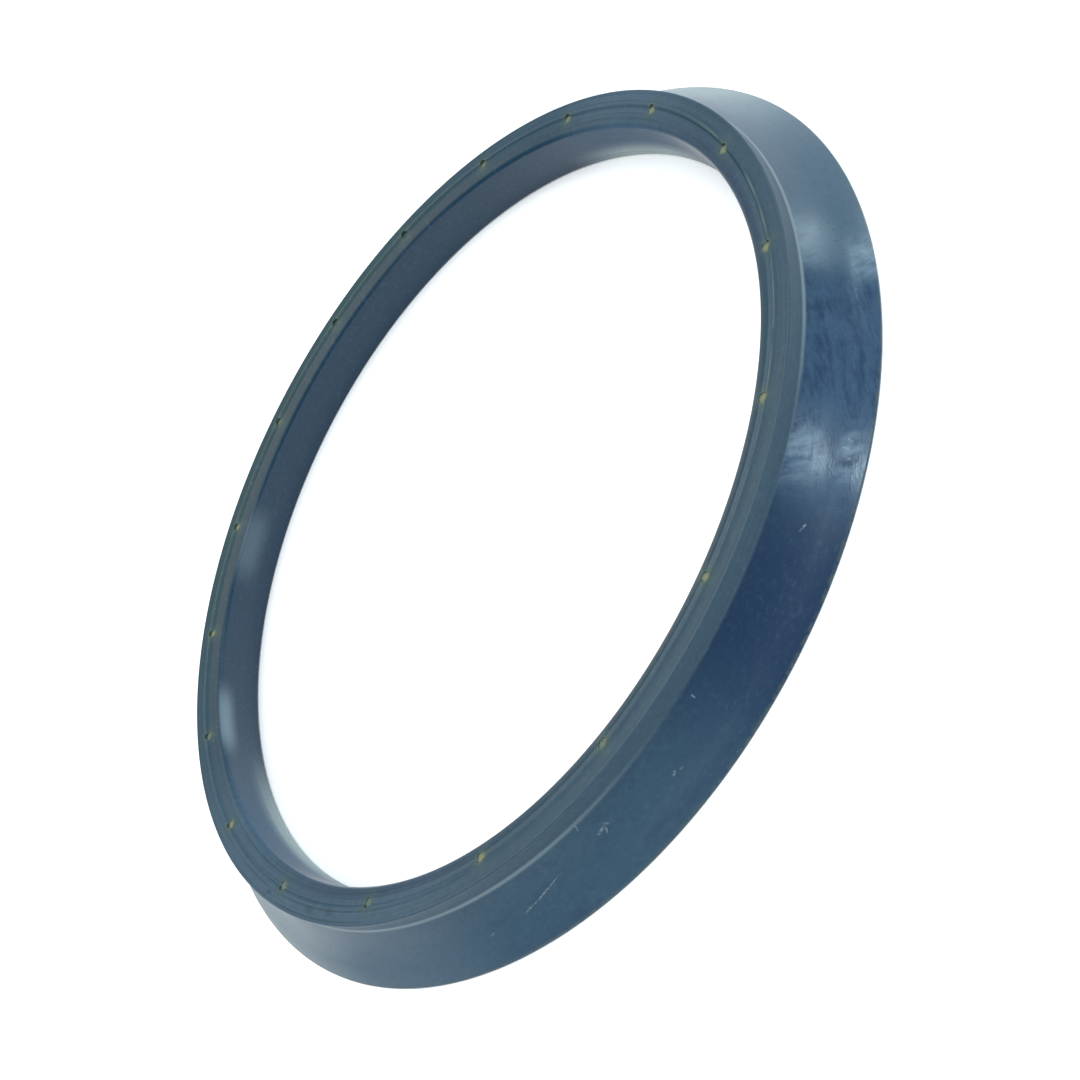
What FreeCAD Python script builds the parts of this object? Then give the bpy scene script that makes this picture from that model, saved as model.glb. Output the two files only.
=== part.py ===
"""One-piece V-ring seal: a solid heel with two sealing lips, moulded in one elastomer.

Millimetres. +Z is the ring's axis, the lip tips stand on z = 0 and the flat heel face is on top.
The section is drawn once as a half profile in the XZ plane and revolved.
"""
import FreeCAD, Part
import math
import os

# main sizes
bore_radius = 70.0
height = 10.7
heel_width = 6.3            # from the bore to the upright rim of the heel
lip_flare = 7.2             # how far the free lip stands out past the rim

# outer side, from the front face down to the outer lip
rim_edge_chamfer = 0.15
rim_height = 2.95           # from the front face down to the foot of the rim
wall_hollow = 0.5           # how far the flared wall dips in behind a straight cone
wall_blend = 22.0           # radius of the hollow
lip_edge_land = 0.35        # height of the narrow upright band on the lip edge

# front face inside the channel, and bore
channel_inner_drop = 0.35   # how far the channel's inner edge lies below the front face
bore_edge_drop = 1.45       # how far the bore's edge lies below the front face
bore_edge_round = 0.8
bore_back_chamfer = 0.4

# channel round the front face, with the row of pits in it
channel_inset = 2.9         # from the bore to the channel's centre line
channel_width = 1.1
channel_depth = 0.85
channel_root_width = 0.3
pit_count = 18
pit_diameter = 1.7
pit_depth = 1.9             # below the front face, down to the edge of the conical bottom
pit_tip_drop = 0.4
first_pit_angle = 193.3     # degrees from +X

# V groove between the lips, open to the back
inner_lip_tip = 1.7         # width of the flat tip of the inner lip
outer_lip_tip = 1.3         # width of the flat tip of the outer lip
groove_root_inset = 4.6     # from the bore to the middle of the root
groove_root_width = 1.2
groove_depth = 5.3


rim_radius = bore_radius + heel_width
lip_radius = rim_radius + lip_flare
channel_radius = bore_radius + channel_inset
groove_root_radius = bore_radius + groove_root_inset


def corner(radius, z, rounding=0.0):
    """A corner of the half profile, with the radius that rounds it."""
    return FreeCAD.Vector(radius, 0, z), rounding


def rounded_outline(corners):
    """Closed wire through the corners, each one rounded by an arc that is tangent to both sides."""
    starts, ends, middles = [], [], []
    for i, (point, rounding) in enumerate(corners):
        to_last = (corners[i - 1][0] - point).normalize()
        to_next = (corners[(i + 1) % len(corners)][0] - point).normalize()
        half_angle = to_last.getAngle(to_next) / 2
        reach = rounding / math.tan(half_angle)
        bisector = (to_last + to_next).normalize()
        starts.append(point + to_last * reach)
        ends.append(point + to_next * reach)
        middles.append(point + bisector * (rounding / math.sin(half_angle) - rounding))
    edges = []
    for i, (point, rounding) in enumerate(corners):
        if rounding > 0:
            edges.append(Part.Arc(starts[i], middles[i], ends[i]).toShape())
        edges.append(Part.LineSegment(ends[i], starts[(i + 1) % len(corners)]).toShape())
    return Part.Wire(edges)


def front_corners():
    """Bore edge, sloping inner face, channel and flat front land, from the bore outwards."""
    channel_inner = channel_radius - channel_width / 2
    channel_outer = channel_radius + channel_width / 2
    channel_floor = height - channel_depth
    return [
        corner(bore_radius, height - bore_edge_drop, bore_edge_round),
        corner(channel_inner, height - channel_inner_drop),
        corner(channel_radius - channel_root_width / 2, channel_floor),
        corner(channel_radius + channel_root_width / 2, channel_floor),
        corner(channel_outer, height),
    ]


def outer_corners():
    """Upright rim and hollow flared wall, from the front face down to the lip's edge."""
    wall_top = FreeCAD.Vector(rim_radius, 0, height - rim_height)
    wall_foot = FreeCAD.Vector(lip_radius, 0, lip_edge_land)
    outward = (wall_foot - wall_top).cross(FreeCAD.Vector(0, 1, 0)).normalize()
    deepest = (wall_top + wall_foot) / 2 - outward * wall_hollow
    return [
        corner(rim_radius - rim_edge_chamfer, height),
        corner(rim_radius, height - rim_edge_chamfer),
        (wall_top, 0.0),
        (deepest, wall_blend),
        (wall_foot, 0.0),
        corner(lip_radius, 0),
    ]


def back_corners():
    """Outer lip tip, V groove and inner lip tip, back to the bore."""
    return [
        corner(lip_radius - outer_lip_tip, 0),
        corner(groove_root_radius + groove_root_width / 2, groove_depth),
        corner(groove_root_radius - groove_root_width / 2, groove_depth),
        corner(bore_radius + inner_lip_tip, 0),
        corner(bore_radius + bore_back_chamfer, 0),
        corner(bore_radius, bore_back_chamfer),
    ]


def ring_body():
    profile = rounded_outline(front_corners() + outer_corners() + back_corners())
    return Part.Face(profile).revolve(FreeCAD.Vector(0, 0, 0), FreeCAD.Vector(0, 0, 1), 360)


def pit_cutter():
    """Drill-shaped cutter of one pit, on the channel's centre line at angle 0."""
    radius = pit_diameter / 2
    floor = height - pit_depth
    barrel = Part.makeCylinder(radius, pit_depth, FreeCAD.Vector(channel_radius, 0, floor))
    tip = Part.makeCone(0, radius, pit_tip_drop, FreeCAD.Vector(channel_radius, 0, floor - pit_tip_drop))
    return barrel.fuse(tip)


def pit_row():
    """All the pits, evenly spaced round the channel."""
    cutters = []
    for i in range(pit_count):
        cutter = pit_cutter()
        angle = first_pit_angle + i * 360.0 / pit_count
        cutter.rotate(FreeCAD.Vector(0, 0, 0), FreeCAD.Vector(0, 0, 1), angle)
        cutters.append(cutter)
    return cutters


def v_ring():
    return ring_body().cut(pit_row())


os.makedirs("parts", exist_ok=True)
ring = v_ring()
print("ring valid:", ring.isValid(), "solids:", len(ring.Solids), "volume mm3:", round(ring.Volume, 1))
box = ring.optimalBoundingBox()
print("overall diameter:", round(box.XLength, 2), "height:", round(box.ZLength, 2))
ring.exportStep("parts/v_ring.step")
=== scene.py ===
# %% [markdown]
# A one-piece V-ring seal
#
# This lesson dresses one moulded rubber ring. The solid model of the ring is loaded first and stays
# where it is. Everything below is made round it, in metres, in the same place and at the same size.

# %% Load the frame
import math

import bpy
from mathutils import Matrix, Vector


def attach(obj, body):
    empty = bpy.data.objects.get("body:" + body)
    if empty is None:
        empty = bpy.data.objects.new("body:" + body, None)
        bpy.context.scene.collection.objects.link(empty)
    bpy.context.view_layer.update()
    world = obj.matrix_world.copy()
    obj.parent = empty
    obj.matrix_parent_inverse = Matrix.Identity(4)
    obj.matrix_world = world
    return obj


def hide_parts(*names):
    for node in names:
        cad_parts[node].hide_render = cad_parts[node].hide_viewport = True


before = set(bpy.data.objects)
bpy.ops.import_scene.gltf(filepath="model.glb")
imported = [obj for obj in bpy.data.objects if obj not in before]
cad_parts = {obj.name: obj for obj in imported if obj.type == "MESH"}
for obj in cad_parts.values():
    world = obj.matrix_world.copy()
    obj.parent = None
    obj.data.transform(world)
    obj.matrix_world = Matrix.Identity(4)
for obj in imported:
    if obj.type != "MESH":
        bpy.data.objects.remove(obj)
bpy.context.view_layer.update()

# %% [markdown]
# Sizes of the section
#
# A seal ring is a section turned round an axis, so the only sizes it needs are radii and heights. They are
# the sizes of the solid model: the bore with its sloping front edge, the upright rim, the flared outer wall
# with its slightly hollow face, the narrow channel in the front face, and the V groove between the lips.
# Only the channel and its pits are shallower than in the solid, because dry residue lies in them, and the
# edges are rounded more finely.

# %% Sizes
MM = 0.001
BORE_RADIUS = 70.0 * MM
HEIGHT = 10.7 * MM
RIM_RADIUS = 76.3 * MM
LIP_RADIUS = 83.5 * MM
RIM_EDGE_CHAMFER = 0.15 * MM
RIM_HEIGHT = 2.95 * MM
WALL_HOLLOW = 0.5 * MM
LIP_EDGE_LAND = 0.35 * MM
BORE_EDGE_DROP = 1.45 * MM
BORE_BACK_CHAMFER = 0.4 * MM
CHANNEL_RADIUS = 72.9 * MM
CHANNEL_WIDTH = 1.1 * MM
CHANNEL_INNER_DROP = 0.35 * MM
CHANNEL_DEPTH = 0.50 * MM      # down to the dry residue on its floor
CHANNEL_ROOT_WIDTH = 0.3 * MM
INNER_LIP_TIP = 1.7 * MM
OUTER_LIP_TIP = 1.3 * MM
GROOVE_ROOT_RADIUS = 74.6 * MM
GROOVE_ROOT_WIDTH = 1.2 * MM
GROOVE_DEPTH = 5.3 * MM
print("section:", round((LIP_RADIUS - BORE_RADIUS) / MM, 1), "mm wide,", round(HEIGHT / MM, 1), "mm high")

# %% [markdown]
# The camera
#
# The picture looks down on the lying ring from about 35 degrees, quite close, so that the near side is
# clearly larger than the far side. The camera is also rolled by about 63 degrees, which is why the ring
# seems to stand on its edge. In a studio the same picture could be turned after it was taken. Setting the
# camera first means that every later look is the right one.

# %% Camera
CAMERA_PLACE = Vector((-1.18, -189.3, 119.33)) * MM
CAMERA_TILT = math.radians(54.44)       # 0 looks straight down, 90 looks at the horizon
CAMERA_ROLL = math.radians(-62.9)
CAMERA_LENS = 41.38                     # in mm, as is the sensor's width
SENSOR_WIDTH = 36.0
CLIP_NEAR = 0.01
CLIP_FAR = 20.0

camera_data = bpy.data.cameras.new("camera")
camera_data.sensor_width = SENSOR_WIDTH
camera_data.lens = CAMERA_LENS
camera_data.clip_start = CLIP_NEAR
camera_data.clip_end = CLIP_FAR
camera = bpy.data.objects.new("camera", camera_data)
bpy.context.scene.collection.objects.link(camera)
camera.matrix_world = (
    Matrix.Translation(CAMERA_PLACE)
    @ Matrix.Rotation(CAMERA_TILT, 4, "X")
    @ Matrix.Rotation(CAMERA_ROLL, 4, "Z")
)
bpy.context.scene.camera = camera
print("camera at", [round(v / MM) for v in CAMERA_PLACE], "mm")

# %% [markdown]
# Modelling the ring
#
# The real ring is pressed in a mould, so its faces are clean surfaces of revolution. A loaded solid is
# made of flat triangles, which would show in a glossy finish. So the visible ring is a finer mesh of the
# same shape. It starts as a circle at the foot of the bore. Each extrusion is scaled and lifted to the next
# corner of the section, as on a lathe, and the last row is joined to the first.

# %% Helpers for picking edges by their place
CLOSE = 0.02 * MM
SHORTEST_STEP = 5 * CLOSE      # each step of an edge loop round the ring is longer than this


def deselect_all():
    for item in bpy.context.selected_objects:
        item.select_set(False)


def pick(item):
    """Makes item the only selected object and the active one."""
    deselect_all()
    bpy.context.view_layer.objects.active = item
    item.select_set(True)


def start_editing(item):
    pick(item)
    bpy.ops.object.mode_set(mode="EDIT")
    bpy.ops.mesh.select_mode(type="EDGE")


def select_circles(item, circles):
    """In edit mode, selects the edges that run round the ring at the (radius, height) places.

    Where two of the places have the same height, the edges across the flat between them are selected too.
    """
    bpy.ops.mesh.select_all(action="DESELECT")
    bpy.ops.object.mode_set(mode="OBJECT")
    mesh = item.data

    def on_circle(point):
        distance = math.hypot(point.x, point.y)
        return any(abs(distance - r) < CLOSE and abs(point.z - z) < CLOSE for r, z in circles)

    on = [on_circle(vertex.co) for vertex in mesh.vertices]
    for edge in mesh.edges:
        a, b = edge.vertices
        run = mesh.vertices[a].co - mesh.vertices[b].co
        edge.select = on[a] and on[b] and abs(run.z) < CLOSE and run.length > SHORTEST_STEP
    bpy.ops.object.mode_set(mode="EDIT")
    return sum(edge.select for edge in item.data.edges)


# %% Corners of the section
channel_floor = HEIGHT - CHANNEL_DEPTH
wall_top = Vector((RIM_RADIUS, HEIGHT - RIM_HEIGHT))
wall_foot = Vector((LIP_RADIUS, LIP_EDGE_LAND))
wall_run = (wall_foot - wall_top).normalized()
wall_middle = (wall_top + wall_foot) / 2 - Vector((-wall_run.y, wall_run.x)) * WALL_HOLLOW

section = {
    "bore foot": (BORE_RADIUS, BORE_BACK_CHAMFER),
    "bore edge": (BORE_RADIUS, HEIGHT - BORE_EDGE_DROP),
    "channel inner edge": (CHANNEL_RADIUS - CHANNEL_WIDTH / 2, HEIGHT - CHANNEL_INNER_DROP),
    "channel inner root": (CHANNEL_RADIUS - CHANNEL_ROOT_WIDTH / 2, channel_floor),
    "channel outer root": (CHANNEL_RADIUS + CHANNEL_ROOT_WIDTH / 2, channel_floor),
    "channel outer edge": (CHANNEL_RADIUS + CHANNEL_WIDTH / 2, HEIGHT),
    "rim front edge": (RIM_RADIUS - RIM_EDGE_CHAMFER, HEIGHT),
    "rim side edge": (RIM_RADIUS, HEIGHT - RIM_EDGE_CHAMFER),
    "rim foot": tuple(wall_top),
    "wall middle": tuple(wall_middle),
    "wall foot": tuple(wall_foot),
    "lip edge": (LIP_RADIUS, 0.0),
    "outer lip tip": (LIP_RADIUS - OUTER_LIP_TIP, 0.0),
    "groove outer root": (GROOVE_ROOT_RADIUS + GROOVE_ROOT_WIDTH / 2, GROOVE_DEPTH),
    "groove inner root": (GROOVE_ROOT_RADIUS - GROOVE_ROOT_WIDTH / 2, GROOVE_DEPTH),
    "inner lip tip": (BORE_RADIUS + INNER_LIP_TIP, 0.0),
    "bore back edge": (BORE_RADIUS + BORE_BACK_CHAMFER, 0.0),
}
print("section corners:", len(section))

# %% Turn the section
RING_SEGMENTS = 540
SAME_POINT = 0.001 * MM

corners = list(section.values())
first_radius, first_height = corners[0]
deselect_all()
bpy.ops.mesh.primitive_circle_add(vertices=RING_SEGMENTS, radius=first_radius, location=(0, 0, first_height))
ring = bpy.context.object
ring.name = "ring"
ring.data.name = "ring"
bpy.ops.object.transform_apply(location=True, rotation=True, scale=True)
start_editing(ring)
bpy.ops.mesh.select_all(action="SELECT")
for (radius, height), (next_radius, next_height) in zip(corners, corners[1:] + corners[:1]):
    bpy.ops.mesh.extrude_edges_move(TRANSFORM_OT_translate={"value": (0, 0, next_height - height)})
    grow = next_radius / radius
    bpy.ops.transform.resize(value=(grow, grow, 1), center_override=(0, 0, next_height))
bpy.ops.mesh.select_all(action="SELECT")
bpy.ops.mesh.remove_doubles(threshold=SAME_POINT)
bpy.ops.mesh.normals_make_consistent(inside=False)
bpy.ops.object.mode_set(mode="OBJECT")
print("ring faces before rounding:", len(ring.data.polygons))

# %% [markdown]
# Rounding the edges
#
# A mould leaves no knife-sharp edge. The bore's front edge has a full round, the outer wall is blended in
# one soft hollow, the rim meets it in a small fillet, and the other edges have fine rounds. Fine rounds
# matter more than their size suggests, because they catch the light as thin lines. Each edge loop is picked
# by its corner of the section and then bevelled.

# %% Bevel the loops
BORE_EDGE_REACH = 0.75 * MM
WALL_BLEND_REACH = 2.1 * MM
RIM_FOOT_REACH = 0.5 * MM
FINE_ROUND = 0.12 * MM
RIM_EDGE_ROUND = FINE_ROUND / 2
CHANNEL_EDGE_ROUND = 2.3 * FINE_ROUND
GROOVE_ROOT_ROUND = 4 * FINE_ROUND
ROUND_PROFILE = 0.5
BEVELS = [
    # corners of the section, width of the bevel, rows
    (["bore edge"], BORE_EDGE_REACH, 10),
    (["wall middle"], WALL_BLEND_REACH, 12),
    (["rim foot"], RIM_FOOT_REACH, 5),
    (["channel inner edge", "channel outer edge"], CHANNEL_EDGE_ROUND, 4),
    (["rim front edge", "rim side edge"], RIM_EDGE_ROUND, 2),
    (["wall foot", "lip edge", "outer lip tip", "inner lip tip"], FINE_ROUND, 3),
    (["groove outer root", "groove inner root"], GROOVE_ROOT_ROUND, 4),
    (["bore foot", "bore back edge"], FINE_ROUND, 2),
]
start_editing(ring)
for names, width, rows in BEVELS:
    edge_count = select_circles(ring, [section[name] for name in names])
    bpy.ops.mesh.bevel(
        offset=width, offset_type="OFFSET", segments=rows, profile=ROUND_PROFILE, affect="EDGES",
    )
    print("bevelled", edge_count, "edges,", round(width / MM, 2), "mm:", ", ".join(names))
bpy.ops.object.mode_set(mode="OBJECT")

# %% [markdown]
# The row of pits
#
# Eighteen small blind holes sit in the channel. Pins that hold a part in its mould can leave such marks.
# Dry residue fills them almost up to the floor of the channel, so the visible ring is cut only down to that
# filling. One cutter is modelled as a short cylinder, copied round the ring, and taken away from the ring
# with a Boolean modifier that is then applied.

# %% Cut the pits
PIT_COUNT = 18
PIT_DIAMETER = 1.7 * MM
PIT_SIDES = 28
FIRST_PIT_ANGLE = math.radians(193.3)
FILLING_DEPTH = 0.56 * MM      # from the front face down to the residue in a pit
FILLING_DIP = 0.03 * MM
CUTTER_RISE = 0.5 * MM         # how far a cutter stands up above the front face


def pit_cutter():
    depth = FILLING_DEPTH + CUTTER_RISE
    deselect_all()
    bpy.ops.mesh.primitive_cylinder_add(
        vertices=PIT_SIDES, radius=PIT_DIAMETER / 2, depth=depth, end_fill_type="TRIFAN",
        location=(CHANNEL_RADIUS, 0, HEIGHT + CUTTER_RISE - depth / 2),
    )
    cutter = bpy.context.object
    bpy.ops.object.transform_apply(location=True, rotation=True, scale=True)
    for vertex in cutter.data.vertices:
        on_axis = math.hypot(vertex.co.x - CHANNEL_RADIUS, vertex.co.y) < CLOSE
        if on_axis and vertex.co.z < HEIGHT:
            vertex.co.z -= FILLING_DIP
    return cutter


def copied_round(item, count, first_angle):
    """Copies of item, each with its own mesh, evenly spaced about the ring's axis, joined into one."""
    copies = []
    for i in range(count):
        mesh = item.data.copy()
        mesh.transform(Matrix.Rotation(first_angle + i * math.tau / count, 4, "Z"))
        copy = bpy.data.objects.new(f"{item.name}_{i:02d}", mesh)
        bpy.context.scene.collection.objects.link(copy)
        copies.append(copy)
    bpy.data.objects.remove(item)
    deselect_all()
    for copy in copies:
        copy.select_set(True)
    bpy.context.view_layer.objects.active = copies[0]
    bpy.ops.object.join()
    return bpy.context.object


cutters = copied_round(pit_cutter(), PIT_COUNT, FIRST_PIT_ANGLE)
cut = ring.modifiers.new("pits", "BOOLEAN")
cut.operation = "DIFFERENCE"
cut.solver = "EXACT"
cut.object = cutters
pick(ring)
bpy.ops.object.modifier_apply(modifier=cut.name)
bpy.data.objects.remove(cutters)
print("ring faces:", len(ring.data.polygons))

# %% Smooth shading
SHARP_ANGLE = math.radians(35)
pick(ring)
bpy.ops.object.shade_smooth_by_angle(angle=SHARP_ANGLE)
print("smooth faces:", sum(face.use_smooth for face in ring.data.polygons))

# %% [markdown]
# Writing shader maths
#
# A finish is a formula over the surface. Blender writes formulas as chains of Math nodes, which are slow to
# read. This small class wraps one socket, and its operators add the Math nodes, so that a mask can be
# written as an ordinary Python expression. Every other node is made by one function.

# %% A socket that can be calculated with
class Value:
    """One output of a node. Python's operators on it add Math nodes to its tree."""

    def __init__(self, tree, socket):
        self.tree = tree
        self.socket = socket

    def math(self, operation, *others, clamp=False):
        made = self.tree.nodes.new("ShaderNodeMath")
        made.operation = operation
        made.use_clamp = clamp
        for i, source in enumerate((self, *others)):
            plug(self.tree, source, made.inputs[i])
        return Value(self.tree, made.outputs[0])

    def __add__(self, other):
        return self.math("ADD", other)

    def __radd__(self, other):
        return self.math("ADD", other)

    def __sub__(self, other):
        return self.math("SUBTRACT", other)

    def __rsub__(self, other):
        return (self * -1.0) + other

    def __mul__(self, other):
        return self.math("MULTIPLY", other)

    def __rmul__(self, other):
        return self.math("MULTIPLY", other)

    def __truediv__(self, other):
        return self.math("DIVIDE", other)

    def __pow__(self, other):
        return self.math("POWER", other)

    def absolute(self):
        return self.math("ABSOLUTE")

    def bigger(self, other):
        return self.math("MAXIMUM", other)

    def clamped(self):
        return self.math("ADD", 0.0, clamp=True)

    def wrapped(self, step):
        return self.math("WRAP", step / 2, -step / 2)

    def ramp(self, low, high):
        """0 at low and 1 at high, with soft ends. low may be the larger one."""
        settings = {"interpolation_type": "SMOOTHSTEP"}
        ends = {"From Min": low, "From Max": high}
        return node(self.tree, "ShaderNodeMapRange", settings, Value=self, **ends)[0]


# %% Nodes and colours
def plug(tree, source, socket):
    if isinstance(source, Value):
        tree.links.new(source.socket, socket)
    else:
        socket.default_value = source


def node(tree, kind, settings=None, **inputs):
    """Adds one node: its type, its settings, and the values or links of its inputs. Returns its outputs."""
    made = tree.nodes.new(kind)
    for name, setting in (settings or {}).items():
        setattr(made, name, setting)
    sockets = {socket.name: socket for socket in made.inputs if socket.enabled}
    for name, source in inputs.items():
        plug(tree, source, sockets[name])
    return [Value(tree, output) for output in made.outputs if output.enabled]


def mixed(tree, factor, low, high):
    """Colour mix: low where factor is 0 and high where it is 1."""
    settings = {"data_type": "RGBA", "clamp_factor": True}
    return node(tree, "ShaderNodeMix", settings, Factor=factor, A=low, B=high)[0]


def colour(red, green, blue):
    """Screen colour, 0 to 255, as the linear colour that a shader wants."""
    def linear(value):
        value /= 255
        return value / 12.92 if value < 0.04045 else ((value + 0.055) / 1.055) ** 2.4
    return (linear(red), linear(green), linear(blue), 1.0)


# %% [markdown]
# Blue rubber
#
# The ring is a dark blue elastomer with a semi-gloss moulded skin. The flared wall is the bluest part. It is
# darkest in a band on the near side, which is painted shade where the wall mirrors dark surroundings, and
# glossier there and in the smears beside it. The front face and the rim are greyer and greener, because they
# have a dull film. Everything that follows is a mask over four places: the angle round the ring, the radius,
# the height and the way across the wall.

# %% Places on the ring, for masks
OBJECT_COORDINATES = 3         # which output of the Texture Coordinate node they are
NEAR_SIDE = 90                 # degrees round the ring, the side nearest to the camera
FAR_SIDE = 270
MINUS_X_END = 0
PLUS_X_END = 180

material = bpy.data.materials.new("blue_rubber")
material.use_nodes = True
tree = material.node_tree
shader = tree.nodes["Principled BSDF"]

bore_mm = BORE_RADIUS / MM
channel_mm = CHANNEL_RADIUS / MM
rim_mm = RIM_RADIUS / MM
rim_foot_mm = (HEIGHT - RIM_HEIGHT) / MM

place = node(tree, "ShaderNodeTexCoord")[OBJECT_COORDINATES]
x, y, z = node(tree, "ShaderNodeSeparateXYZ", Vector=place)
radius = (x * x + y * y) ** 0.5 / MM
z = z / MM
turn = y.math("ARCTAN2", x) * (180 / math.pi) + 180.0              # degrees round the ring
across = (radius - rim_mm) / ((LIP_RADIUS - RIM_RADIUS) / MM)      # 0 at the rim, 1 at the lip
print("places:", len(tree.nodes), "nodes")


# %% Helpers for masks
def away_from(degrees):
    """Degrees round the ring from one place to the point that is shaded, counted either way."""
    return (turn - degrees).wrapped(360.0)


def near_turn(degrees, full, none):
    """1 within full degrees of a place on the ring, falling to 0 at none degrees."""
    return away_from(degrees).absolute().ramp(none, full)


def strongest(*masks):
    """At each point, the largest of the masks."""
    result = masks[0]
    for mask in masks[1:]:
        result = result.bigger(mask)
    return result


def noise(vector, scale=1.0, detail=3.0, roughness=0.5):
    return node(tree, "ShaderNodeTexNoise", Vector=vector, Scale=scale, Detail=detail, Roughness=roughness)[0]


def ring_grain(per_turn, per_mm, skew=0.0, shift=0.0):
    """Noise coordinates: steps round the whole ring, steps per millimetre across it, a slant and a shift."""
    bearing = (turn + across * skew) * (math.pi / 180)
    return node(
        tree, "ShaderNodeCombineXYZ",
        X=bearing.math("COSINE") * per_turn,
        Y=bearing.math("SINE") * per_turn,
        Z=(radius - z) * per_mm + shift,
    )[0]


def layered(under, *layers):
    """A colour with layers over it, each one a mask and a colour, the last on top."""
    for mask, over in layers:
        under = mixed(tree, mask, under, over)
    return under


# %% Parts of the section
on_wall = across.ramp(-0.02, 0.03) * z.ramp(rim_foot_mm + 0.25, rim_foot_mm - 0.1)
off_wall = 1.0 - on_wall
on_rim = radius.ramp(rim_mm - 0.2, rim_mm - 0.05) * off_wall
on_slope = radius.ramp(channel_mm - 0.5, channel_mm - 0.7)
on_lip_edge = across.ramp(0.955, 0.985)
in_bore = radius.ramp(bore_mm + 0.5, bore_mm + 0.1)
at_ends = strongest(near_turn(MINUS_X_END, 4, 26), near_turn(PLUS_X_END, 4, 20))
from_channel = (radius - channel_mm).absolute()
print("with the parts of the section:", len(tree.nodes), "nodes")

# %% [markdown]
# Colour of the wall
#
# A moulded skin is never one even tone. The wall is greyer blue, with a navy band on the near side that is
# painted shade, where the wall mirrors dark surroundings. Slanted smears break it up. Its paler stretches are
# painted sheen, painted light and a painted reflection towards the ends. Each tone is a layer with its own
# mask, laid over the one before, as a painter glazes one colour over another.

# %% Unevenness of the skin
cloud = noise(ring_grain(4.0, 0.12), 1.6, 4.0, 0.6)
smears = noise(ring_grain(22.0, 0.45, skew=12.0), 1.0, 5.0, 0.65).ramp(0.40, 0.68)
mottle = noise(ring_grain(75.0, 1.1, skew=2.0), 1.0, 5.0, 0.75)
rings = noise(ring_grain(1.2, 5.0), 1.0, 4.0, 0.7)
print("with the noises:", len(tree.nodes), "nodes")

# %% Wall
WALL_BLOOM = colour(49, 75, 95)
WALL_NAVY = colour(27, 51, 80)
WALL_SMEAR = colour(55, 81, 107)
WALL_PAINTED_SHEEN = colour(77, 96, 112)
WALL_LIT = colour(63, 86, 104)
WALL_PAINTED_REFLECTION = colour(140, 153, 154)

# Painted shade: a navy band on the near side, where the wall mirrors dark surroundings. The same band is
# glossier.
gloss_and_painted_shade = near_turn(94, 3, 21)
smeared = near_turn(117, 9, 16)
# Painted reflection: the wall turns pale grey towards both ends.
wall_painted_reflection = strongest(near_turn(PLUS_X_END, 6, 26) * across.ramp(-0.2, 0.9), near_turn(4, 6, 24) * 0.6)
wall_colour = layered(
    WALL_BLOOM,
    (gloss_and_painted_shade, WALL_NAVY),
    (smeared, WALL_SMEAR),
    (smeared * smears * 0.8, WALL_NAVY),
    (cloud.ramp(0.5, 0.75) * 0.45, WALL_NAVY),
    # Painted sheen near 25 degrees and painted light near 150 degrees: paler tones on the wall.
    (near_turn(25, 10, 30) * 0.9, WALL_PAINTED_SHEEN),
    (near_turn(150, 12, 26), WALL_LIT),
    (wall_painted_reflection * 0.75, WALL_PAINTED_REFLECTION),
)
print("with the wall:", len(tree.nodes), "nodes")

# %% [markdown]
# Colour of the front, the slope, the bore and the rim
#
# Each part of the section has a tone of its own. Over it lie painted light and painted shade: the parts are
# paler towards the two ends of the ring, as in the picture, and the front face and its slope are darker on
# the far side, the slope on the near side too. The parts are put together from the front face on, and the
# wall goes over them last.

# %% Front face and its inner slope
FRONT_FILM = colour(43, 69, 84)
FAR_SIDE_PAINTED_SHADE = colour(34, 64, 68)
END_PAINTED_LIGHT = colour(68, 90, 106)
SLOPE_FILM = colour(22, 56, 72)
SLOPE_PAINTED_LIGHT = colour(54, 72, 89)
SLOPE_PAINTED_SHADE = colour(6, 46, 58)

# Painted shade and light: the front face is darker and greener on the far side and paler near 28 degrees; the
# slope is paler near 30 and 150 degrees and darker on the near and far sides.
front_colour = layered(
    FRONT_FILM,
    (near_turn(FAR_SIDE, 25, 70), FAR_SIDE_PAINTED_SHADE),
    (near_turn(28, 10, 30) * 0.6, END_PAINTED_LIGHT),
)
slope_colour = layered(
    SLOPE_FILM,
    (strongest(near_turn(30, 12, 32), near_turn(150, 12, 30)), SLOPE_PAINTED_LIGHT),
    (strongest(near_turn(NEAR_SIDE, 8, 30), near_turn(FAR_SIDE, 40, 70)), SLOPE_PAINTED_SHADE),
)
print("with the front and its slope:", len(tree.nodes), "nodes")

# %% Bore and rim, and all parts together
BORE_BLUE = colour(10, 51, 75)
BORE_END_PAINTED_LIGHT = colour(49, 79, 104)
BORE_FOOT_PAINTED_REFLECTION = colour(152, 166, 166)
RIM_FILM = colour(40, 74, 94)
RIM_PAINTED_LIGHT = colour(50, 78, 97)

# Painted light: the bore is paler towards both ends of the ring.
bore_colour = layered(BORE_BLUE, (at_ends, BORE_END_PAINTED_LIGHT))
# Painted light: the rim is paler near 38 and 152 degrees.
rim_colour = layered(RIM_FILM, (strongest(near_turn(38, 6, 20), near_turn(152, 12, 30)), RIM_PAINTED_LIGHT))
base = layered(
    front_colour,
    (on_slope, slope_colour),
    # Painted light: every part is paler towards both ends of the ring.
    (at_ends * 0.75, END_PAINTED_LIGHT),
    (in_bore, bore_colour),
    # Painted reflection of the floor: the low bore is near white towards both ends.
    (in_bore * at_ends * z.ramp(4.8, 1.2), BORE_FOOT_PAINTED_REFLECTION),
    (on_rim, rim_colour),
    (on_wall, wall_colour),
)
print("with all parts:", len(tree.nodes), "nodes")

# %% [markdown]
# Worn edges, mottle and fine lines
#
# The lip's edge is rubbed pale in places, long fine rings run round every part but the wall, a mottle lies
# over the whole skin, and a painted highlight draws a pale line along the foot of the rim.

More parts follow.
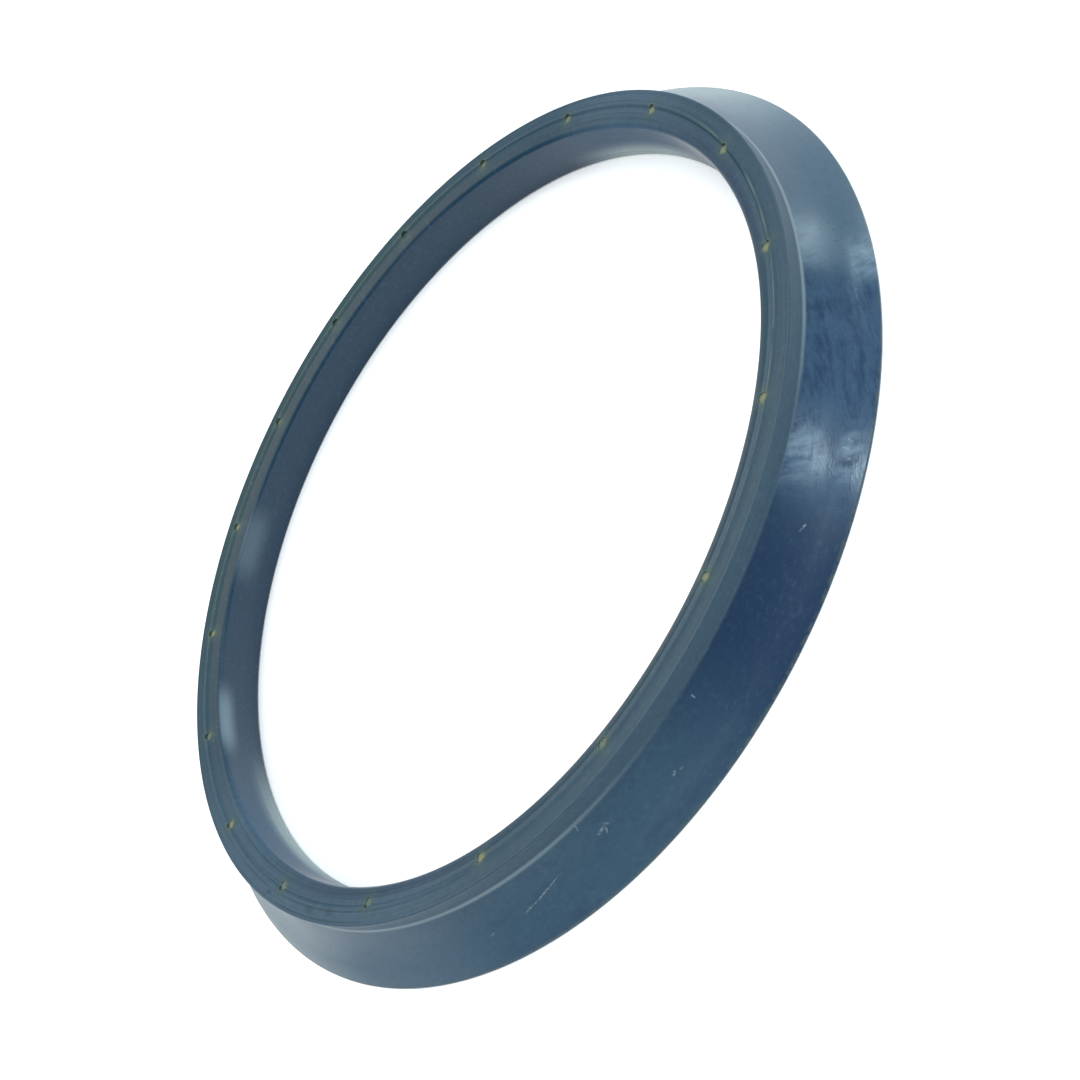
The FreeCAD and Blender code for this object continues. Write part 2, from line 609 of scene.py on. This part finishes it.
# %% Lip edge, rings, mottle and the foot of the rim
LIP_EDGE = colour(76, 88, 84)
LINE_SHADE = colour(24, 42, 54)
MOTTLE_DARK = colour(24, 44, 64)
MOTTLE_PALE = colour(92, 114, 130)
RIM_FOOT_HIGHLIGHT = colour(128, 146, 154)

rubbed = on_lip_edge * noise(ring_grain(80.0, 1.0)).ramp(0.35, 0.6)
# Painted highlight: a pale line along the fillet at the foot of the rim, near 42 and 143 degrees.
rim_foot_highlight = (z - rim_foot_mm).absolute().ramp(0.45, 0.05) * radius.ramp(rim_mm - 0.4, rim_mm - 0.1)
rim_foot_highlight_turns = strongest(near_turn(42, 12, 40), near_turn(143, 16, 36))
base = layered(
    base,
    (rubbed * 0.7, LIP_EDGE),
    (rings.ramp(0.42, 0.7) * off_wall * 0.4, LINE_SHADE),
    (mottle.ramp(0.50, 0.74) * 0.30, MOTTLE_DARK),
    (mottle.ramp(0.50, 0.28) * 0.16, MOTTLE_PALE),
    (rim_foot_highlight * rim_foot_highlight_turns * 0.6, RIM_FOOT_HIGHLIGHT),
)
print("with edges, rings and mottle:", len(tree.nodes), "nodes")

# %% [markdown]
# Rings and smudges on the front, painted highlights in the bore
#
# Three soft dark rings and a few smudges keep the front face from looking new, and a pale line runs beside
# the channel on one side. Two painted highlights lie high in the bore on the far side.

# %% Soft rings, smudges and patches
CHANNEL_SIDE_PALE = colour(104, 122, 112)
BORE_HIGHLIGHT = colour(116, 134, 146)
CHANNEL_MM_PER_DEGREE = math.radians(1) * CHANNEL_RADIUS / MM


def fine_ring(at_radius, half_width):
    """A soft line round the front at one radius, in mm."""
    return (radius - at_radius).absolute().ramp(half_width, half_width * 0.2)


def smudge(degrees, at_radius, length, width):
    """A soft oval spot on the front: place by angle and radius, sizes in mm."""
    run = away_from(degrees) * CHANNEL_MM_PER_DEGREE / (length / 2)
    side = (radius - at_radius) / (width / 2)
    return (run * run + side * side).ramp(1.0, 0.1)


front_rings = fine_ring(74.1, 0.25) * 0.45 + fine_ring(75.7, 0.3) * 0.4 + fine_ring(71.3, 0.3) * 0.35
smudges = strongest(smudge(21.5, 74.6, 3.4, 1.6), smudge(26.0, 74.4, 2.6, 1.5), smudge(11.0, 74.8, 2.4, 1.2))
pale_line = fine_ring(channel_mm + 0.6, 0.3) * near_turn(128, 20, 45) * cloud.ramp(0.35, 0.6)
# Painted highlights: two pale patches high in the bore on the far side.
bore_highlights = strongest(
    near_turn(331, 2, 9) * z.ramp(5.0, 8.0) * 0.75,
    near_turn(296, 2, 9) * z.ramp(3.0, 7.0) * 0.35,
)
base = layered(
    base,
    (front_rings * cloud.ramp(0.3, 0.6) * off_wall, LINE_SHADE),
    (smudges * 0.4, LINE_SHADE),
    (pale_line * 0.7, CHANNEL_SIDE_PALE),
    (bore_highlights * in_bore, BORE_HIGHLIGHT),
)
print("with rings, smudges and patches:", len(tree.nodes), "nodes")

# %% [markdown]
# Residue in the pits
#
# A dry yellow-green residue sits in the pits and stains the channel next to them. Its mask repeats eighteen
# times: the angle is wrapped to one pit's share of the ring, so one formula serves all the pits. Noise
# makes it strong in some pits and faint in others.

# %% Residue and stain
RESIDUE = colour(122, 127, 94)
GREEN_STAIN = colour(62, 82, 70)

first_turn = math.degrees(FIRST_PIT_ANGLE) - 180
from_pit_along = (turn - first_turn).wrapped(360.0 / PIT_COUNT) * CHANNEL_MM_PER_DEGREE
from_pit = (from_pit_along * from_pit_along + from_channel * from_channel) ** 0.5
pit_mix = noise(ring_grain(9.0, 0.0), detail=1.0)
crumbs = noise(ring_grain(300.0, 3.0), roughness=0.7)

stain = from_pit.ramp(3.2, 0.6) * crumbs.ramp(0.35, 0.6)
residue = from_pit.ramp(1.25, 0.2) * (crumbs * 0.5 + pit_mix * 0.8).ramp(0.45, 0.72)
base = layered(base, (stain * 0.7, GREEN_STAIN), (residue, RESIDUE))
print("with the residue:", len(tree.nodes), "nodes")

# %% [markdown]
# Scratches, painted highlights and specks
#
# Handling has left one long scratch and some short marks on the near side of the wall, and light specks
# everywhere but in the bore. Pale streaky patches on the wall, and four of the listed strokes inside them,
# are painted highlights where the wall mirrors the lamps. Each mark is a stretched spot: its length runs
# along its own direction and its width across it. A short list of places is easier to tune than a noise that
# has to be lucky.

# %% Marks
WALL_MM_PER_DEGREE = math.radians(1) * 80.0     # at 80 mm, about the middle of the wall
WALL_LENGTH = 10.3                              # mm, from the foot of the rim down to the lip's edge
SCRATCHES_AND_GLINTS = [
    # degrees, way across, length, width, slant: first the long scratch
    (57.0, 0.40, 9.4, 0.30, 11),
    (54.2, 0.47, 2.2, 0.34, 14),
    (66.4, 0.27, 2.0, 0.45, 8),
    (67.2, 0.24, 1.6, 0.35, -35),
    (66.9, 0.30, 1.2, 0.40, 60),
    (75.5, 0.47, 1.1, 0.45, 20),
    (76.4, 0.50, 0.8, 0.35, -15),
    (82.6, 0.14, 0.8, 0.35, 80),
    (101.2, 0.43, 1.7, 0.40, -22),
    # Painted highlights, not scratches: this stroke and the next three are glints where the wall mirrors the
    # lamps.
    (109.6, 0.69, 1.3, 0.50, 84),
    (108.7, 0.75, 1.5, 0.55, 78),
    (110.5, 0.73, 1.0, 0.45, 66),
    (131.8, 0.86, 1.6, 0.60, 40),
    (64.8, 0.06, 1.1, 0.35, 70),
    (48.5, 0.52, 1.4, 0.25, 14),
]


def stroke(degrees, way, length, width, slant):
    """A light stroke. Place by angle and by the way across the wall, sizes in mm, slant in degrees."""
    along_ring = away_from(degrees) * WALL_MM_PER_DEGREE
    up_wall = (across - way) * -WALL_LENGTH
    cosine = math.cos(math.radians(slant))
    sine = math.sin(math.radians(slant))
    run = (along_ring * cosine + up_wall * sine).absolute() / (length / 2)
    side = (along_ring * -sine + up_wall * cosine).absolute() / (width / 2)
    return (run * run + side * side).ramp(1.0, 0.3)


broken = noise(ring_grain(260.0, 2.5), 1.0, 4.0, 0.7).ramp(0.4, 0.6)
scratches_and_glints = strongest(*(stroke(*one) for one in SCRATCHES_AND_GLINTS)) * on_wall * broken
print("with", len(SCRATCHES_AND_GLINTS), "marks:", len(tree.nodes), "nodes")

# %% Painted highlight patches and specks
HIGHLIGHT_PALE = colour(132, 152, 168)
SCRATCH_AND_GLINT_PALE = colour(146, 158, 160)
SPECK_PALE = colour(120, 132, 130)

strokes_across = noise(ring_grain(60.0, 0.25, skew=-3.0), roughness=0.55).ramp(0.22, 0.72)
# Painted highlights: pale streaky patches where the wall mirrors the window lamps.
highlight_patches = strongest(
    near_turn(109.0, 0.6, 4.2) * across.ramp(0.50, 0.74) * across.ramp(1.02, 0.80),
    near_turn(108.5, 0.8, 5.5) * across.ramp(0.48, 0.16),
    near_turn(131.0, 0.6, 4.5) * across.ramp(0.50, 0.90),
    near_turn(133.5, 1.5, 5.0) * across.ramp(0.35, 0.10) * 0.6,
)
painted_highlight_streaks = highlight_patches * on_wall * strokes_across
specks = noise(ring_grain(420.0, 4.5, shift=31.0), detail=0.0).ramp(0.83, 0.88) * (1.0 - in_bore)
base = layered(base, (painted_highlight_streaks * 0.60, HIGHLIGHT_PALE), (scratches_and_glints * 0.55, SCRATCH_AND_GLINT_PALE), (specks * 0.5, SPECK_PALE))
plug(tree, base, shader.inputs["Base Color"])
print("whole colour:", len(tree.nodes), "nodes")

# %% [markdown]
# Gloss and fine relief
#
# The gloss tells more about rubber than the colour does. On the wall the band on the near side and the
# smears mirror the lamps best, the film is dull, and short streaks make the reflections slightly uneven. The
# relief is about a hundredth of a millimetre deep: fine rings copied from the mould, the smears and marks of
# the wall, and a faint mottle.

# %% Roughness
WALL_ROUGHNESS = 0.40
FILM_ROUGHNESS = 0.44
SPECULAR_LEVEL = 0.42

streaks = noise(ring_grain(230.0, 0.10, skew=-1.5), roughness=0.6)
polished = WALL_ROUGHNESS - gloss_and_painted_shade * 0.10 - smeared * 0.17 - near_turn(133, 4, 9) * 0.10
wall_roughness = polished + (streaks - 0.5) * 0.06 + (cloud - 0.5) * 0.12
roughness = on_wall * wall_roughness + off_wall * (FILM_ROUGHNESS + (rings - 0.5) * 0.2)
roughness = roughness + residue * 0.35 + scratches_and_glints * 0.2 + in_bore * (at_ends * 0.25 - 0.12)
plug(tree, roughness.clamped(), shader.inputs["Roughness"])
plug(tree, SPECULAR_LEVEL, shader.inputs["Specular IOR Level"])
print("with the gloss:", len(tree.nodes), "nodes")

# %% Relief
RELIEF_DEPTH = 0.012 * MM

skin_relief = rings * off_wall + streaks * on_wall * 0.05
relief = skin_relief + smears * on_wall * smeared * 0.8 + scratches_and_glints * 1.5 + mottle * 0.3
bumped = node(tree, "ShaderNodeBump", Strength=1.0, Distance=RELIEF_DEPTH, Height=relief)[0]
plug(tree, bumped, shader.inputs["Normal"])
print("nodes in the finish:", len(tree.nodes))

# %% Give the finish to the ring
ring.data.materials.clear()
ring.data.materials.append(material)
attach(ring, "root")
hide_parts("v_ring")

# %% [markdown]
# Floor and light
#
# The floor is a plain pale sheet. Its edge stays out of the main picture, and only a low view shows it. It
# glows faintly, as a light table does, so that it stays white close to the ring, where it gets less light.
# One large lamp above gives the soft light. The small ones are the windows that the wall mirrors, and two
# broader ones at the sides lift the darkest parts.

# %% Floor
FLOOR_SIZE = 6.0
FLOOR_FINISH = {
    "Base Color": (0.96, 0.96, 0.96, 1),
    "Roughness": 0.9,
    "Emission Color": (1.0, 0.95, 0.91, 1),
    "Emission Strength": 0.14,
}

deselect_all()
bpy.ops.mesh.primitive_plane_add(size=FLOOR_SIZE, location=(0, 0, 0))
floor = bpy.context.object
floor.name = "floor"
bpy.ops.object.transform_apply(location=True, rotation=True, scale=True)
floor_material = bpy.data.materials.new("floor")
floor_material.use_nodes = True
for name, setting in FLOOR_FINISH.items():
    floor_material.node_tree.nodes["Principled BSDF"].inputs[name].default_value = setting
floor.data.materials.append(floor_material)
print("floor:", FLOOR_SIZE, "m square")

# %% Lamps
WHITE = (1.0, 1.0, 1.0)
COOL_WHITE = (0.74, 0.92, 1.0)
LAMPS = [
    # name, azimuth, elevation, distance, width, height, power, tint
    ("top", 90, 84, 2.2, 3.2, 3.2, 71.0, WHITE),
    ("window_low", 312, 31, 0.9, 0.06, 0.15, 0.64, COOL_WHITE),
    ("window_high", 312, 52, 0.9, 0.06, 0.14, 0.68, COOL_WHITE),
    ("side_window_low", 358, 10, 0.9, 0.07, 0.12, 0.50, COOL_WHITE),
    ("side_window_high", 356, 31, 0.9, 0.05, 0.12, 0.72, COOL_WHITE),
    ("left_fill", 206, 9, 1.3, 0.5, 0.4, 1.5, COOL_WHITE),
    ("right_fill", 36, 7, 1.3, 0.5, 0.3, 1.4, COOL_WHITE),
]


def soft_box(name, azimuth, elevation, distance, width, height, power, tint):
    """A rectangular lamp that faces the ring. Azimuth is counted from +X towards +Y, in degrees."""
    data = bpy.data.lights.new(name, "AREA")
    data.shape = "RECTANGLE"
    data.size = width
    data.size_y = height
    data.energy = power
    data.color = tint
    lamp = bpy.data.objects.new(name, data)
    bpy.context.scene.collection.objects.link(lamp)
    a = math.radians(azimuth)
    e = math.radians(elevation)
    away = Vector((math.cos(a) * math.cos(e), math.sin(a) * math.cos(e), math.sin(e)))
    lamp.location = away * distance
    lamp.rotation_mode = "QUATERNION"
    lamp.rotation_quaternion = away.to_track_quat("Z", "Y")


for lamp in LAMPS:
    soft_box(*lamp)
print("lamps:", len(LAMPS))

# %% Surroundings
STUDIO_GREY = (0.23, 0.30, 0.34, 1)

world = bpy.data.worlds.new("studio")
bpy.context.scene.world = world
world.use_nodes = True
world.node_tree.nodes["Background"].inputs["Color"].default_value = STUDIO_GREY
world.node_tree.nodes["Background"].inputs["Strength"].default_value = 1.0
bpy.context.scene.view_settings.view_transform = "Standard"
